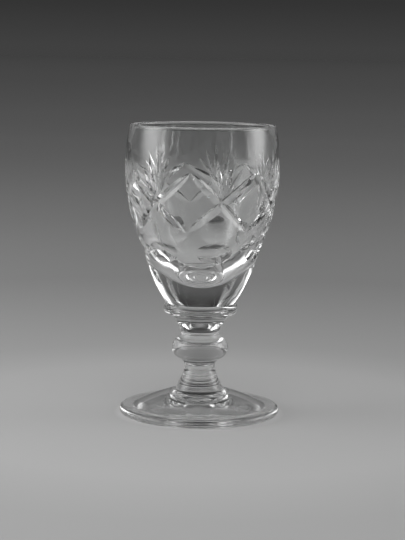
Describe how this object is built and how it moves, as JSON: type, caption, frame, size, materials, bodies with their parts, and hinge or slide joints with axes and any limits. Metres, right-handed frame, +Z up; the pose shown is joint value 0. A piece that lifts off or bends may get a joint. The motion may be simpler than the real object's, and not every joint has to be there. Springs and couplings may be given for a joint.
{
  "type": "cordial glass",
  "caption": "Small clear crystal cordial glass: a cut bowl with mitre diamonds, fans and oval prints, on a collar, a ball knop stem and a domed round foot.",
  "frame": {"origin": "centre of the foot on the surface that the glass stands on", "axes": "+Z up along the stem, through the middle of the rim; -Y towards the camera of the picture, +X to its right"},
  "size_m": [0.0478, 0.0478, 0.0863],
  "materials": {
    "crystal": "polished clear lead crystal"
  },
  "bodies": {
    "root": {"bowl": "crystal", "collar": "crystal", "stem_neck": "crystal", "knop": "crystal", "stem_base": "crystal", "foot": "crystal"}
  },
  "joints": []
}
